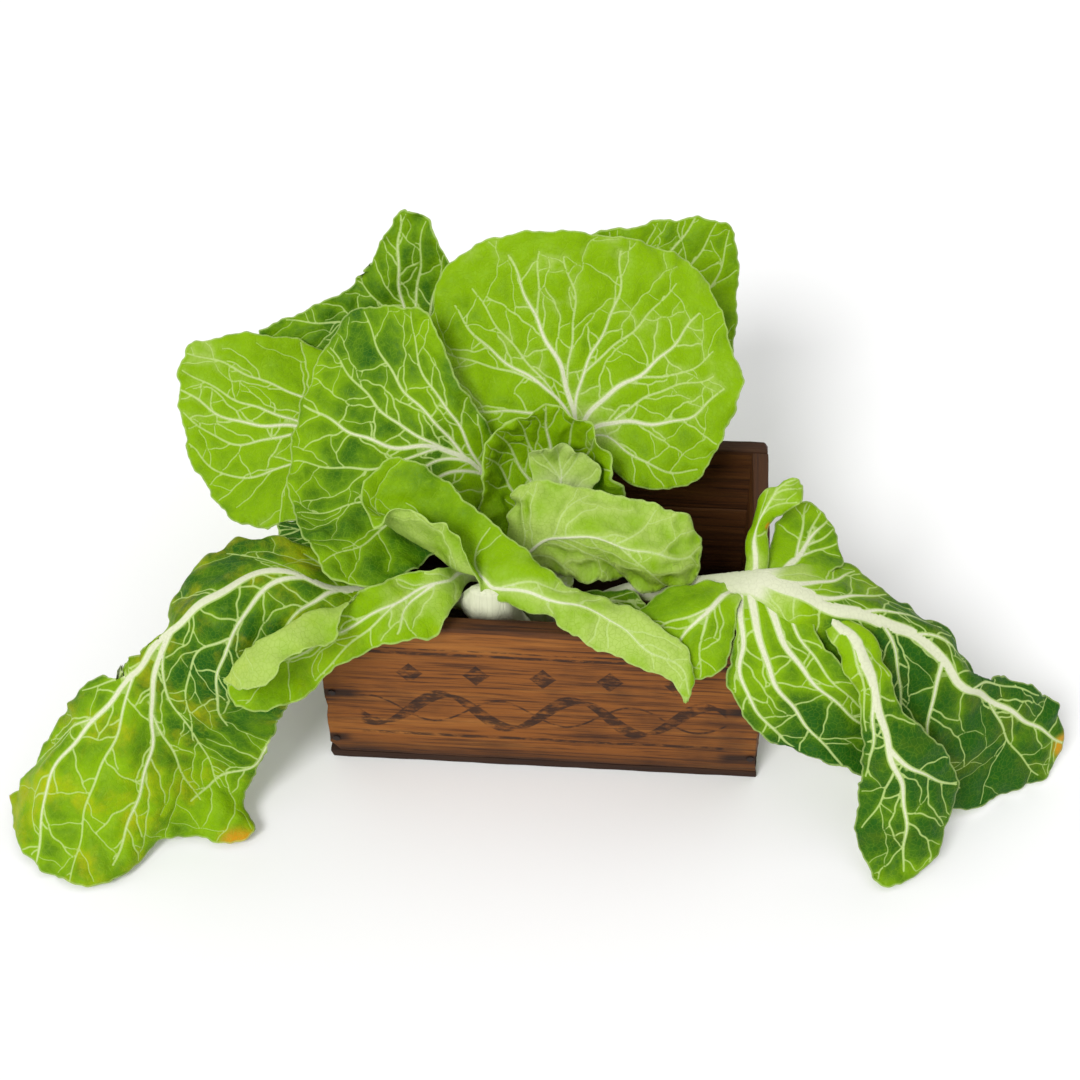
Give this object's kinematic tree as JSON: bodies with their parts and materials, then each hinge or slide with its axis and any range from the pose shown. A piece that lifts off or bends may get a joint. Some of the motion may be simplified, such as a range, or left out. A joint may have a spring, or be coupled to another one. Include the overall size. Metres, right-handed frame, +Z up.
{
  "type": "tronchuda kale head in a wooden box",
  "caption": "Loose head of tronchuda kale with broad white-ribbed leaves, standing in an open nailed wooden box with leaves drooping over its sides.",
  "frame": {"origin": "middle of the wooden box's flat underside", "axes": "+Z up; -Y is the box's long front, over which the front leaves hang; +X to the right seen from the front"},
  "size_m": [0.877, 0.5379, 0.3408],
  "materials": {
    "box_wood": "old reddish-brown timber, worn, with iron stains and faded dark ornament on the front",
    "box_floor_wood": "dark, dry timber",
    "nail_iron": "dull dark iron, oxidised",
    "kale_stem": "fresh pale green stalk",
    "leaf_bright": "fresh bright green leaf with whitish veins, softly glossy",
    "leaf_deep": "fresh deep green leaf with thick white ribs, softly glossy",
    "leaf_pale": "fresh pale green leaf underside, satin"
  },
  "bodies": {
    "root": {"back_centre_leaf": "leaf_bright", "back_right_leaf": "leaf_bright", "box_back_board_lower": "box_wood", "box_back_board_upper": "box_wood", "box_floor_board_1": "box_floor_wood", "box_floor_board_2": "box_floor_wood", "box_floor_board_3": "box_floor_wood", "box_front_board": "box_wood", "box_left_end": "box_wood", "box_right_end": "box_wood", "far_left_leaf": "leaf_bright", "front_left_leaf": "leaf_pale", "front_small_leaf": "leaf_deep", "front_tongue_leaf": "leaf_pale", "heart_front_leaf": "leaf_pale", "heart_hood_leaf": "leaf_bright", "heart_inner_leaf": "leaf_pale", "left_drooping_leaf": "leaf_deep", "left_leaf": "leaf_bright", "left_small_leaf": "leaf_deep", "nail_back_left_1": "nail_iron", "nail_back_left_2": "nail_iron", "nail_back_left_3": "nail_iron", "nail_back_right_1": "nail_iron", "nail_back_right_2": "nail_iron", "nail_back_right_3": "nail_iron", "nail_front_left_1": "nail_iron", "nail_front_left_2": "nail_iron", "nail_front_left_3": "nail_iron", "nail_front_right_1": "nail_iron", "nail_front_right_2": "nail_iron", "nail_front_right_3": "nail_iron", "right_drooping_leaf": "leaf_deep", "stem": "kale_stem", "upper_left_leaf": "leaf_bright"}
  },
  "joints": []
}
